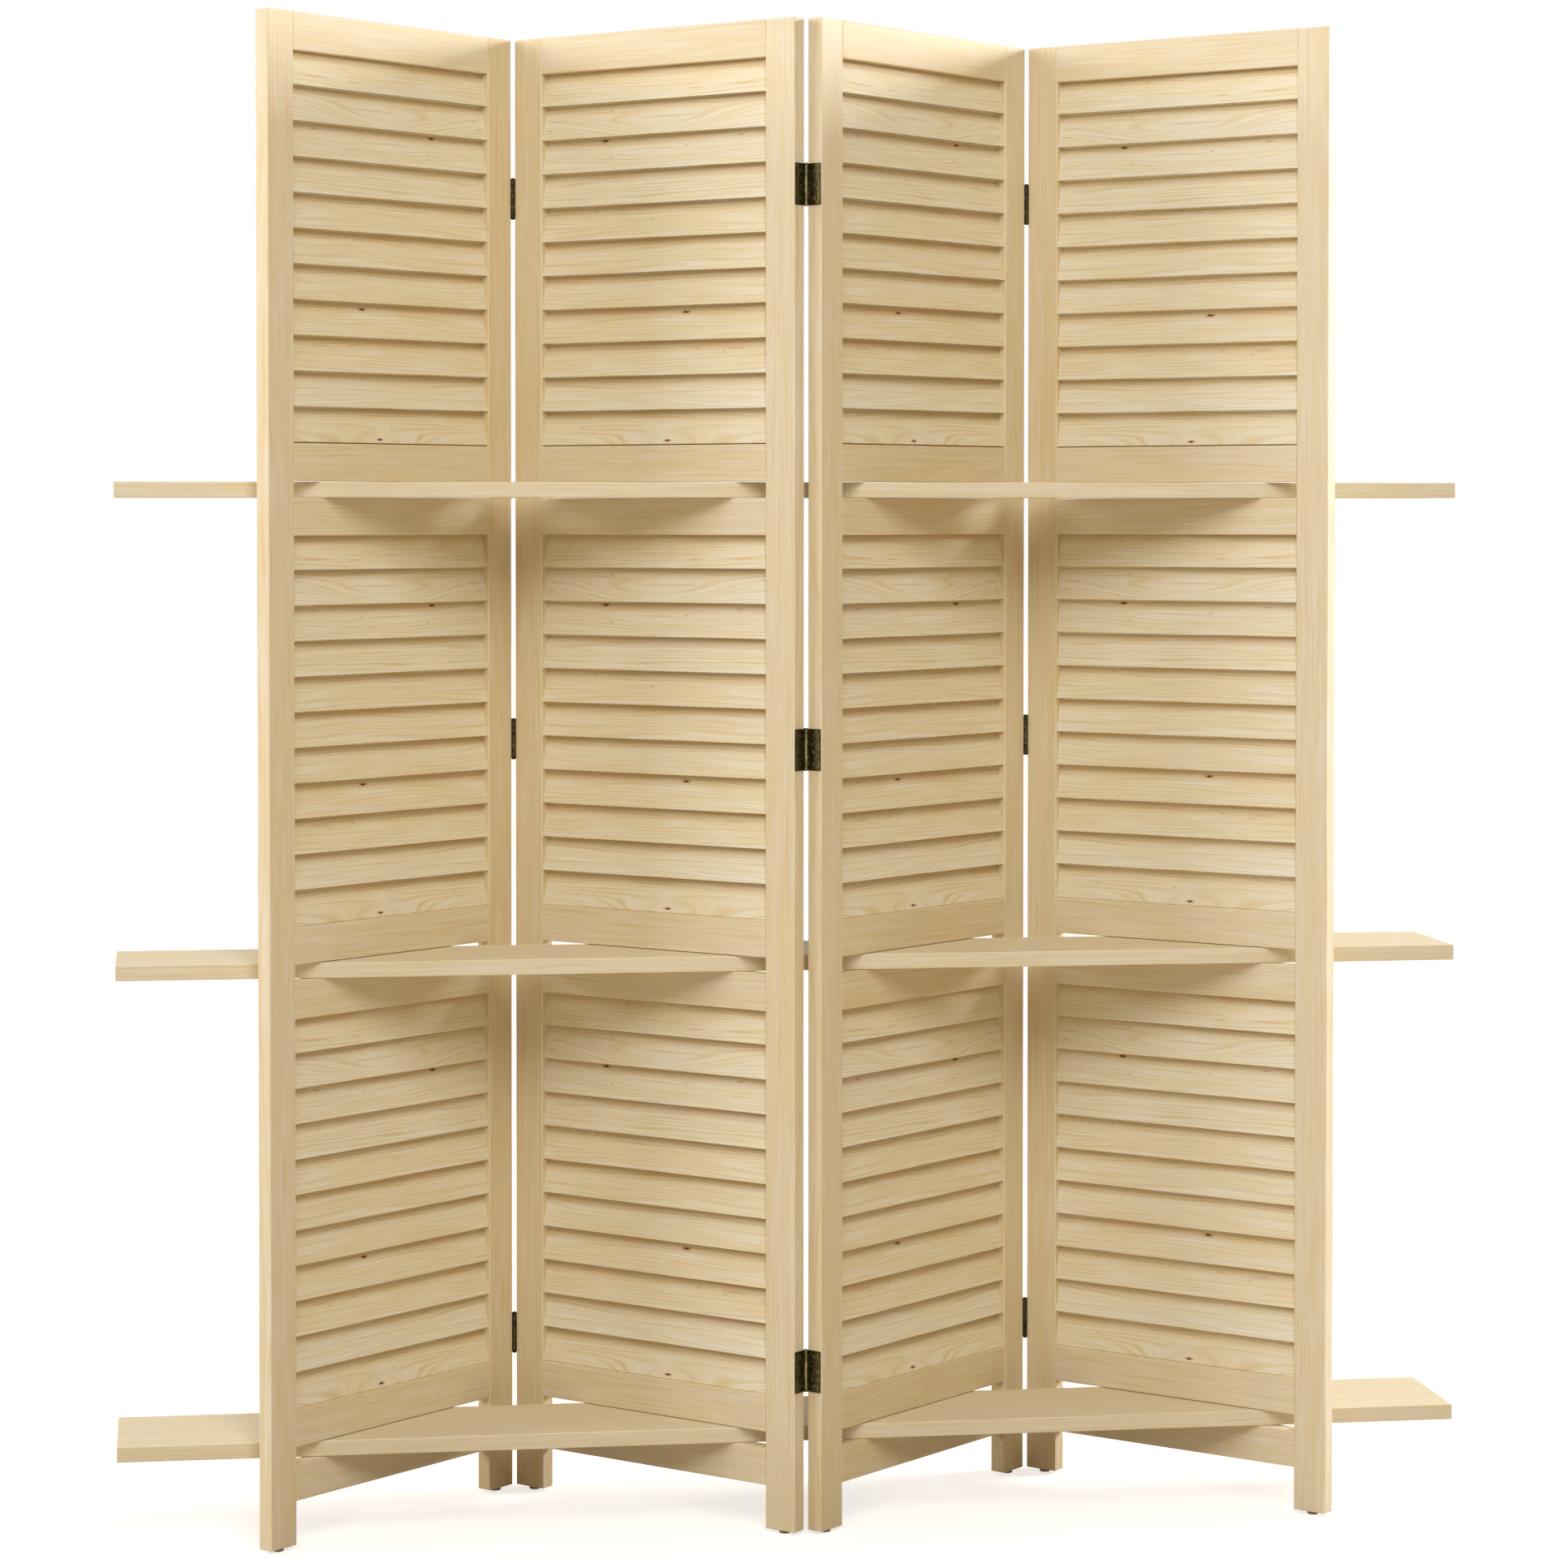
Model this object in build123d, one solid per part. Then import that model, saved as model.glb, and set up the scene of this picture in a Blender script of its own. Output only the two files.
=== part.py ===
from build123d import *
import math
import os

# Folding screen of four louvred panels on butt hinges, with three loose shelves that pass
# through slots in every panel. X runs along the shelves, Y away from the viewer, Z up, and
# the origin is on the floor under the middle of the zigzag.

# Screen
panel_count = 4
panel_width = 400.0
panel_thickness = 19.0
stile_height = 1696.0
fold_angle = 43.7  # degrees between each panel and the shelves

# Stiles and rails
stile_width = 40.0
stile_edge_radius = 1.2
rail_height = 41.9
rail_edge_radius = 0.8
slot_height = 18.5
foot_height = 48.7  # stile below the lowest rail
tenon_length = 12.0
tenon_thickness = 7.0
tenon_shoulder = 6.0
tenon_clearance = 0.1

# Louvre slats
slat_count = 11
slat_width = 48.0
slat_thickness = 5.5
slat_lean = 14.0  # degrees back from upright
slat_setback = 1.5
slat_edge_radius = 1.6
slat_housing = 6.0
slat_clearance = 0.15
slat_gap = 0.2

# Hinges
top_hinge_drop = 185.0
middle_hinge_drop = 817.0
bottom_hinge_rise = 180.0
axis_end_gap = 1.2
axis_face_gap = 1.7
leaf_height = 46.5
leaf_thickness = 1.0
leaf_margin = 0.7
knuckle_radius = 2.2
centre_knuckle_height = 18.3
knuckle_gap = 0.4
knuckle_slit = 0.8
pin_radius = 1.1
pin_clearance = 0.05
pin_cap_height = 0.8
pin_cap_gap = 0.1

# Hinge screws, three to a leaf
screw_head_radius = 2.6
screw_shank_radius = 1.3
screw_length = 14.0
screw_tip_length = 3.0
screw_clearance = 0.1
recess_width = 0.7
recess_length = 3.0
recess_depth = 0.9
screw_height_shares = (0.16, 0.45, 0.84)

# Foot glides, nailed under the stiles
glide_radius = 6.2
glide_height = 4.0
glide_edge_radius = 1.0
nail_radius = 0.9
nail_length = 10.0
nail_clearance = 0.1

# Shelves
shelf_length = 1533.0
shelf_depth = 153.0
shelf_thickness = 17.5
shelf_edge_radius = 1.0
shelf_seat_gap = 0.3
shelf_folded_clearance = 1.8

# Overrun of every cut past the surface it starts from
overrun = 1.0

bay_names = ("top", "middle", "bottom")

# Plan of the zigzag, worked out between neighbouring hinge lines
fold = math.radians(fold_angle)
hinge_span = panel_width + 2 * axis_end_gap
hinge_offset = panel_thickness + 2 * axis_face_gap
zigzag_pitch = hinge_span * math.cos(fold) + hinge_offset * math.sin(fold)
zigzag_depth = hinge_span * math.sin(fold) - hinge_offset * math.cos(fold)

# Heights of the frame members
stile_top = glide_height + stile_height
top_rail_base = stile_top - rail_height
bay_height = (stile_height - rail_height - foot_height) / len(bay_names)
louvre_height = bay_height - 2 * rail_height - slot_height
inner_width = panel_width - 2 * stile_width

# Slats
lean = math.radians(slat_lean)
slat_pitch = louvre_height / slat_count
slat_drop = slat_thickness * math.sin(lean)
slat_lift = slat_drop + slat_gap
top_slat_width = (slat_pitch - slat_lift - slat_gap) / math.cos(lean)

LOW = (Align.MIN, Align.MIN, Align.MIN)


def panel_place(index):
    """Location of a panel's lower front left corner, found from its left hinge line."""
    side = -1 if index % 2 == 0 else 1
    corner_x = axis_end_gap
    corner_y = axis_face_gap if side > 0 else -(panel_thickness + axis_face_gap)
    line = Location(((index - panel_count / 2) * zigzag_pitch, side * zigzag_depth / 2, 0))
    return line * Rot(0, 0, -side * fold_angle) * Pos(corner_x, corner_y, 0)


def section_base(bay):
    """Height of the foot of a louvre section, counted from the top of the screen."""
    return top_rail_base - bay * bay_height - louvre_height


def slot_rail_bases(bay):
    """Heights of the undersides of the rails above and below a shelf slot."""
    upper = section_base(bay) - rail_height
    return upper, upper - slot_height - rail_height


def slot_floor(bay):
    """Height of the surface that a shelf rests on."""
    return slot_rail_bases(bay)[1] + rail_height


def hinge_heights():
    """Heights of the middles of the hinges."""
    return (stile_top - top_hinge_drop, stile_top - middle_hinge_drop, glide_height + bottom_hinge_rise)


def tenon_bar(base, clearance):
    """Bar through a rail whose ends are its two tenons."""
    reach = tenon_length + clearance
    size = (inner_width + 2 * reach, tenon_thickness + 2 * clearance)
    height = rail_height - 2 * tenon_shoulder + 2 * clearance
    corner = (stile_width - reach, (panel_thickness - size[1]) / 2, base + tenon_shoulder - clearance)
    return Pos(*corner) * Box(*size, height, align=LOW)


def rail(base):
    """Rail between the stiles, with its tenons."""
    body = Pos(stile_width, 0, base) * Box(inner_width, panel_thickness, rail_height, align=LOW)
    body = fillet(body.edges().filter_by(Axis.X), rail_edge_radius)
    return body + tenon_bar(base, 0)


def slat_bar(base, width, clearance):
    """Slat that leans back from its front lip, or the housing cut for it in the stiles."""
    reach = slat_housing + clearance
    outline = RectangleRounded(
        slat_thickness + 2 * clearance,
        width + 2 * clearance,
        slat_edge_radius + clearance,
        align=(Align.MIN, Align.MIN),
    )
    outline = Pos(slat_setback, base) * Rot(0, 0, -slat_lean) * Pos(-clearance, -clearance) * outline
    face = Plane.YZ.offset(stile_width - reach) * outline
    return extrude(face, inner_width + 2 * reach)


def louvre_slats(bay, clearance=0):
    """Slats of one louvre section; the uppermost one stops under the rail."""
    slats = []
    for number in range(slat_count):
        base = section_base(bay) + slat_lift + number * slat_pitch
        width = top_slat_width if number == slat_count - 1 else slat_width
        slats.append(slat_bar(base, width, clearance))
    return slats


def rail_bases():
    """Heights of the undersides of all rails of a panel."""
    bases = [top_rail_base]
    for bay in range(len(bay_names)):
        bases.extend(slot_rail_bases(bay))
    return bases


def screw_blank(clearance):
    """Countersunk screw along Z from the top of its head, or the hole cut for it."""
    head = screw_head_radius + clearance
    shank = screw_shank_radius + clearance
    outline = Polyline(
        (0, 0),
        (head, 0),
        (shank, head - shank),
        (shank, screw_length - screw_tip_length),
        (0, screw_length + clearance),
        close=True,
    )
    return revolve(make_face(Plane.XZ * outline), Axis.Z)


def screw():
    """Hinge screw with a cross recess in its head."""
    body = screw_blank(0)
    for size in ((recess_length, recess_width), (recess_width, recess_length)):
        body -= Box(*size, 2 * recess_depth)
    return body


def screw_places():
    """Places of a leaf's screws in the leaf's frame, each pointing into the wood."""
    middle = (axis_face_gap + knuckle_slit + leaf_reach()) / 2
    foot = -leaf_height / 2
    surface = axis_end_gap - leaf_thickness
    return [
        Location((middle, surface, foot + share * leaf_height)) * Rot(-90, 0, 0)
        for share in screw_height_shares
    ]


def leaf_reach():
    """How far a leaf runs from the pin line over the end of the stile."""
    return axis_face_gap + panel_thickness - leaf_margin


def knuckle_spans(centre):
    """Spans of height that the knuckles of a leaf take, the rest being the other leaf's."""
    half = centre_knuckle_height / 2
    if centre:
        return [(-half, half)]
    outer = leaf_height / 2
    return [(-outer, -half - knuckle_gap), (half + knuckle_gap, outer)]


def open_spans(centre):
    """Spans of height where a leaf is cut back beside the other leaf's knuckles."""
    half = centre_knuckle_height / 2
    outer = leaf_height / 2
    if centre:
        return [(-outer - overrun, -half), (half, outer + overrun)]
    return [(-half - knuckle_gap, half + knuckle_gap)]


def leaf(centre):
    """Hinge leaf: pin line on Z, X over the end of the stile, Y into the wood."""
    low = axis_end_gap - leaf_thickness
    plate = Pos(0, low, -leaf_height / 2) * Box(leaf_reach(), leaf_thickness, leaf_height, align=LOW)
    for foot, head in open_spans(centre):
        cut = Box(axis_face_gap + knuckle_slit + overrun, leaf_thickness + 2 * overrun, head - foot, align=LOW)
        plate -= Pos(-overrun, low - overrun, foot) * cut
    for foot, head in knuckle_spans(centre):
        barrel = Cylinder(knuckle_radius, head - foot, align=(Align.CENTER, Align.CENTER, Align.MIN))
        plate += Pos(0, 0, foot) * barrel
    plate -= Cylinder(pin_radius + pin_clearance, leaf_height + 2 * overrun)
    lead = Cylinder(screw_head_radius + screw_clearance, 2 * overrun)
    for place in screw_places():
        plate -= [place * screw_blank(screw_clearance), place * Pos(0, 0, -overrun) * lead]
    return plate


def hinge_pin():
    """Pin with a cap beyond each end of the knuckles."""
    cap_base = leaf_height / 2 + pin_cap_gap
    pin = Cylinder(pin_radius, 2 * cap_base)
    for side in (1, -1):
        cap = Cylinder(knuckle_radius, pin_cap_height)
        cap = chamfer(cap.edges().group_by(Axis.Z)[-1 if side > 0 else 0], pin_cap_height / 2)
        pin += Pos(0, 0, side * (cap_base + pin_cap_height / 2)) * cap
    return pin


def hinged_ends(index):
    """Ends of a panel that carry a hinge, as pairs of right end or not and front face or not."""
    ends = []
    if index > 0:
        ends.append((False, index % 2 == 1))
    if index < panel_count - 1:
        ends.append((True, index % 2 == 0))
    return ends


def place_leaf_piece(piece, right, front, height):
    """Sets a piece made in a leaf's frame on an end of a panel."""
    x = panel_width + axis_end_gap if right else -axis_end_gap
    y = -axis_face_gap if front else panel_thickness + axis_face_gap
    turn = 90 if front else -90
    if right != front:
        piece = mirror(piece, Plane.XZ)
    return Pos(x, y, height) * Rot(0, 0, turn) * piece


def hinge_pieces(index, make):
    """Copies of a piece in a leaf's frame, at every hinge of a panel."""
    pieces = []
    for right, front in hinged_ends(index):
        for height in hinge_heights():
            pieces.extend(place_leaf_piece(piece, right, front, height) for piece in make)
    return pieces


def nail(clearance, lead):
    """Nail of a foot glide, or the hole cut for it."""
    shank = Cylinder(
        nail_radius + clearance,
        nail_length + clearance + lead,
        align=(Align.CENTER, Align.CENTER, Align.MIN),
    )
    return Pos(0, 0, glide_height - lead) * shank


def foot_glide():
    """Round glide with its nail."""
    disc = Cylinder(glide_radius, glide_height, align=(Align.CENTER, Align.CENTER, Align.MIN))
    disc = fillet(disc.edges().group_by(Axis.Z)[0], glide_edge_radius)
    return disc + nail(0, overrun)


def foot_places():
    """Middles of the two feet of a panel."""
    return [Pos(x, panel_thickness / 2, 0) for x in (stile_width / 2, panel_width - stile_width / 2)]


def blank_stiles():
    """Left and right stile with the mortises, slat housings and nail holes cut."""
    tools = [tenon_bar(base, tenon_clearance) for base in rail_bases()]
    for bay in range(len(bay_names)):
        tools.extend(louvre_slats(bay, slat_clearance))
    tools.extend(place * nail(nail_clearance, overrun) for place in foot_places())
    stiles = []
    for x in (0, panel_width - stile_width):
        body = Pos(x, 0, glide_height) * Box(stile_width, panel_thickness, stile_height, align=LOW)
        body = fillet(body.edges(), stile_edge_radius)
        stiles.append(body - tools)
    return stiles


def shelf(bay):
    """Shelf board, as far back as the folded screen leaves it clear of the front stiles."""
    front = axis_end_gap + stile_width + shelf_folded_clearance - zigzag_depth / 2
    board = Box(shelf_length, shelf_depth, shelf_thickness, align=(Align.CENTER, Align.MIN, Align.MIN))
    board = fillet(board.edges(), shelf_edge_radius)
    return Pos(0, front, slot_floor(bay) + shelf_seat_gap) * board


def pins(line):
    """Pins of the hinges that join a panel to the next one."""
    side = 1 if line % 2 == 0 else -1
    x = (line + 1 - panel_count / 2) * zigzag_pitch
    return [Pos(x, side * zigzag_depth / 2, height) * hinge_pin() for height in hinge_heights()]


def panel_nodes(index, stiles, leaves, screws):
    """Sub-parts of one panel, as lists of solids by node name."""
    name = f"panel_{index + 1}"
    place = panel_place(index)
    holes = hinge_pieces(index, [spot * screw_blank(screw_clearance) for spot in screw_places()])
    nodes = {
        f"{name}_left_stile": [stiles[0] - holes],
        f"{name}_right_stile": [stiles[1] - holes],
        f"{name}_top_rail": [rail(top_rail_base)],
        f"{name}_hinge_leaves": hinge_pieces(index, [leaves[index % 2]]),
        f"{name}_hinge_screws": hinge_pieces(index, screws),
        f"{name}_foot_glides": [spot * foot_glide() for spot in foot_places()],
    }
    for bay, bay_name in enumerate(bay_names):
        nodes[f"{name}_{bay_name}_slot_rails"] = [rail(base) for base in slot_rail_bases(bay)]
        nodes[f"{name}_{bay_name}_louvres"] = louvre_slats(bay)
    return {node: [place * piece for piece in pieces] for node, pieces in nodes.items()}


def build():
    """All sub-parts of the screen by node name."""
    stiles = blank_stiles()
    leaves = [leaf(False), leaf(True)]
    screws = [spot * screw() for spot in screw_places()]
    nodes = {}
    for index in range(panel_count):
        nodes.update(panel_nodes(index, stiles, leaves, screws))
    for line, line_name in enumerate(("rear_left", "front_middle", "rear_right")):
        nodes[f"{line_name}_hinge_pins"] = pins(line)
    for bay, bay_name in enumerate(bay_names):
        nodes[f"{bay_name}_shelf"] = [shelf(bay)]
    return nodes


def write(nodes):
    """One STEP file for each node."""
    os.makedirs("parts", exist_ok=True)
    for name, pieces in nodes.items():
        solids = [solid for piece in pieces for solid in piece.solids()]
        export_step(Compound(label=name, children=solids), f"parts/{name}.step")


write(build())
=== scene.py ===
"""Folding screen with shelves: sawn pine pieces, aged brass hinges, studio light and camera."""

import logging
import math
from collections.abc import Iterable, Sequence
from dataclasses import dataclass, field
from enum import Enum
from functools import reduce
from typing import NamedTuple

import bpy
import numpy as np
from mathutils import Matrix, Vector


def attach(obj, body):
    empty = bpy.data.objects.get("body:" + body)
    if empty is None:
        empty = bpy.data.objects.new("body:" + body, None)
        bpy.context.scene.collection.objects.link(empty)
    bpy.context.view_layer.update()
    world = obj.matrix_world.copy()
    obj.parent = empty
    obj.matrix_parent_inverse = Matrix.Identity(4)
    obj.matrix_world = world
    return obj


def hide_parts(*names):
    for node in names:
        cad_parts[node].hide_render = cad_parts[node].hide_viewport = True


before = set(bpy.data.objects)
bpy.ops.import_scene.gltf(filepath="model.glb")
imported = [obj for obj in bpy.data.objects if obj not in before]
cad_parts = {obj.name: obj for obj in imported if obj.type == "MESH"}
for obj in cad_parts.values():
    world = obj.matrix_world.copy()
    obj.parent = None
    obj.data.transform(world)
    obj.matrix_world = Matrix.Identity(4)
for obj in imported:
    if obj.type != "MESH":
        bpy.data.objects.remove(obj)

LOG = logging.getLogger("screen")
MM = 0.001
BAYS = ("top", "middle", "bottom")
SEEN_RAYS = ("Camera", "Glossy", "Transmission")

Colour = tuple[float, float, float]
Material = bpy.types.Material
WHITE: Colour = (1.0, 1.0, 1.0)


class Signal:
    """A node's output that builds shader maths when it is used in an expression."""

    def __init__(self, graph: "Graph", socket: bpy.types.NodeSocket) -> None:
        """Wraps one output socket of a graph."""
        self.graph = graph
        self.socket = socket

    def __add__(self, other: "Signal | float") -> "Signal":
        """Sum."""
        return self.graph.maths("ADD", self, other)

    def __radd__(self, other: float) -> "Signal":
        """Reflected sum."""
        return self.graph.maths("ADD", other, self)

    def __sub__(self, other: "Signal | float") -> "Signal":
        """Difference."""
        return self.graph.maths("SUBTRACT", self, other)

    def __rsub__(self, other: float) -> "Signal":
        """Reflected difference."""
        return self.graph.maths("SUBTRACT", other, self)

    def __mul__(self, other: "Signal | float") -> "Signal":
        """Product."""
        return self.graph.maths("MULTIPLY", self, other)

    def __rmul__(self, other: float) -> "Signal":
        """Reflected product."""
        return self.graph.maths("MULTIPLY", other, self)

    def __abs__(self) -> "Signal":
        """Size without the sign."""
        return self.graph.maths("ABSOLUTE", self)

    def clamped(self) -> "Signal":
        """Value kept between 0 and 1."""
        return self.graph.node("Clamp", {}, {"Value": self})

    def step(self, low: float, high: float) -> "Signal":
        """Smooth rise from 0 at low to 1 at high."""
        return self.graph.node(
            "MapRange",
            {"interpolation_type": "SMOOTHSTEP"},
            {"Value": self, "From Min": low, "From Max": high},
        )


class Graph:
    """Node tree of one material or world, with a single method that adds any node."""

    def __init__(self, tree: bpy.types.NodeTree) -> None:
        """Starts with an empty tree."""
        self.tree = tree
        self.tree.nodes.clear()

    def node(self, kind: str, settings: dict, inputs: dict, output: str | int = 0) -> Signal:
        """Adds a node: its settings first, then its values and links.

        Args:
            kind: Node type without ShaderNode in front.
            settings: Attributes of the node.
            inputs: Values or signals by the input's name or number.
            output: Name or number of the output to use.

        Returns:
            The chosen output, or None where the node has none.
        """
        made = self.tree.nodes.new(f"ShaderNode{kind}")
        for key, value in settings.items():
            setattr(made, key, value)
        for key, value in inputs.items():
            socket = made.inputs[key]
            if isinstance(value, Signal):
                self.tree.links.new(value.socket, socket)
            elif isinstance(value, tuple) and socket.type == "RGBA":
                socket.default_value = (*value, 1.0)
            else:
                socket.default_value = value
        return Signal(self, made.outputs[output]) if made.outputs else None

    def maths(self, operation: str, *values: Signal | float) -> Signal:
        """Math node on one to three values."""
        return self.node("Math", {"operation": operation}, dict(enumerate(values)))

    def mix(
        self, factor: Signal | float, first: Signal | Colour, second: Signal | Colour
    ) -> Signal:
        """Colour that goes from first to second."""
        inputs = {0: factor, 6: first, 7: second}
        return self.node("Mix", {"data_type": "RGBA"}, inputs, 2)

    def vector(self, operation: str, *values: Signal | Colour, output: str = "Vector") -> Signal:
        """Vector Math node on one to three vectors."""
        return self.node(
            "VectorMath", {"operation": operation}, dict(enumerate(values)), output
        )

    def scaled(self, vector: Signal, factor: float) -> Signal:
        """Vector made longer by a factor."""
        return self.vector("MULTIPLY", vector, (factor, factor, factor))

    def attribute(self, name: str, output: str = "Fac") -> Signal:
        """Value or vector of a mesh attribute."""
        return self.node("Attribute", {"attribute_name": name}, {}, output)

    def join(self, x: Signal | float, y: Signal | float, z: Signal | float) -> Signal:
        """Vector of three values."""
        return self.node("CombineXYZ", {}, {0: x, 1: y, 2: z})

    def split(self, vector: Signal) -> list[Signal]:
        """Three values of a vector."""
        first = self.node("SeparateXYZ", {}, {0: vector})
        return [Signal(self, output) for output in first.socket.node.outputs]

    def noise(self, place: Signal, detail: float = 2.0, rough: float = 0.5) -> Signal:
        """Noise from 0 to 1 at a place that is scaled already."""
        return self.node(
            "TexNoise",
            {"noise_dimensions": "3D"},
            {"Vector": place, "Scale": 1.0, "Detail": detail, "Roughness": rough},
        )

    def bump(self, strength: float, distance: float, height: Signal) -> Signal:
        """Normal that is tilted by a height; the distance is in metres."""
        inputs = {"Strength": strength, "Distance": distance, "Height": height}
        return self.node("Bump", {}, inputs)

    def surface(self, colour: Signal, rough: Signal, normal: Signal, others: dict) -> None:
        """Principled surface, with other inputs by name, joined to the output."""
        inputs = {"Base Color": colour, "Roughness": rough, "Normal": normal, **others}
        self.node("OutputMaterial", {}, {"Surface": self.node("BsdfPrincipled", {}, inputs)})


def lowest(values: Iterable[Signal]) -> Signal:
    """Smallest of several values."""
    return reduce(lambda found, value: found.graph.maths("MINIMUM", found, value), values)


def add_object(name: str, data: bpy.types.ID) -> bpy.types.Object:
    """Adds an object to the scene.

    Args:
        name: Name of the object.
        data: Its mesh, lamp or camera.

    Returns:
        The object.
    """
    made = bpy.data.objects.new(name, data)
    bpy.context.scene.collection.objects.link(made)
    return made


def new_material(name: str) -> tuple[Material, Graph]:
    """Makes an empty node material.

    Args:
        name: Name of the material.

    Returns:
        The material and its graph.
    """
    material = bpy.data.materials.new(name)
    material.use_nodes = True
    return material, Graph(material.node_tree)


class Spot(NamedTuple):
    """Place on a board in millimetres: along the grain, across the face and below it."""

    along: Signal
    across: Signal
    deep: Signal


@dataclass(frozen=True)
class GrainNoise:
    """Noise with clouds of a size in millimetres along, across and below the grain."""

    size: tuple[float, float, float]
    detail: float = 1.0
    rough: float = 0.5
    span: tuple[float, float] = (0.0, 1.0)
    amount: float = 1.0

    def at(self, spot: Spot) -> Signal:
        """Noise from 0 to 1 at a place on the board."""
        sides = [side * (1 / size) for side, size in zip(spot, self.size)]
        return spot.along.graph.noise(spot.along.graph.join(*sides), self.detail, self.rough)

    def mask(self, spot: Spot) -> Signal:
        """Mask from 0 to the amount, which rises where the noise is in the span."""
        return self.at(spot).step(*self.span) * self.amount


@dataclass(frozen=True)
class Knot:
    """Pin knot, fleck or resin streak: its middle and half lengths in millimetres."""

    along: float
    across: float
    length: float = 2.2
    height: float = 0.8

    def distance(self, place: Signal) -> Signal:
        """Distance from the middle, which is 1 on the knot's rim.

        Args:
            place: Board coordinates.

        Returns:
            The distance.
        """
        size = (1 / self.length, 1 / self.height, 0.0)
        back = (-self.along / self.length, -self.across / self.height, 0.0)
        away = place.graph.vector("MULTIPLY_ADD", place, size, back)
        return place.graph.vector("LENGTH", away, output="Value")


@dataclass(frozen=True)
class Flame:
    """Place where the growth rings close into long ovals."""

    along: float
    across: float
    length: float
    height: float
    pull: float = 0.9


@dataclass(frozen=True)
class Band:
    """Warmer band of a plank, running along the grain."""

    across: float
    half: float
    amount: float

    def warmth(self, across: Signal) -> Signal:
        """Warmth that the band adds at a place across the grain."""
        side = abs(across - self.across)
        return side.step(self.half * 1.35, self.half * 0.65) * self.amount


@dataclass(frozen=True)
class Plank:
    """Figure of a plank: knots, flecks, streaks, flames and warm bands."""

    knots: tuple[Knot, ...] = ()
    flecks: tuple[Knot, ...] = ()
    streaks: tuple[Knot, ...] = ()
    flames: tuple[Flame, ...] = ()
    bands: tuple[Band, ...] = ()


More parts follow.
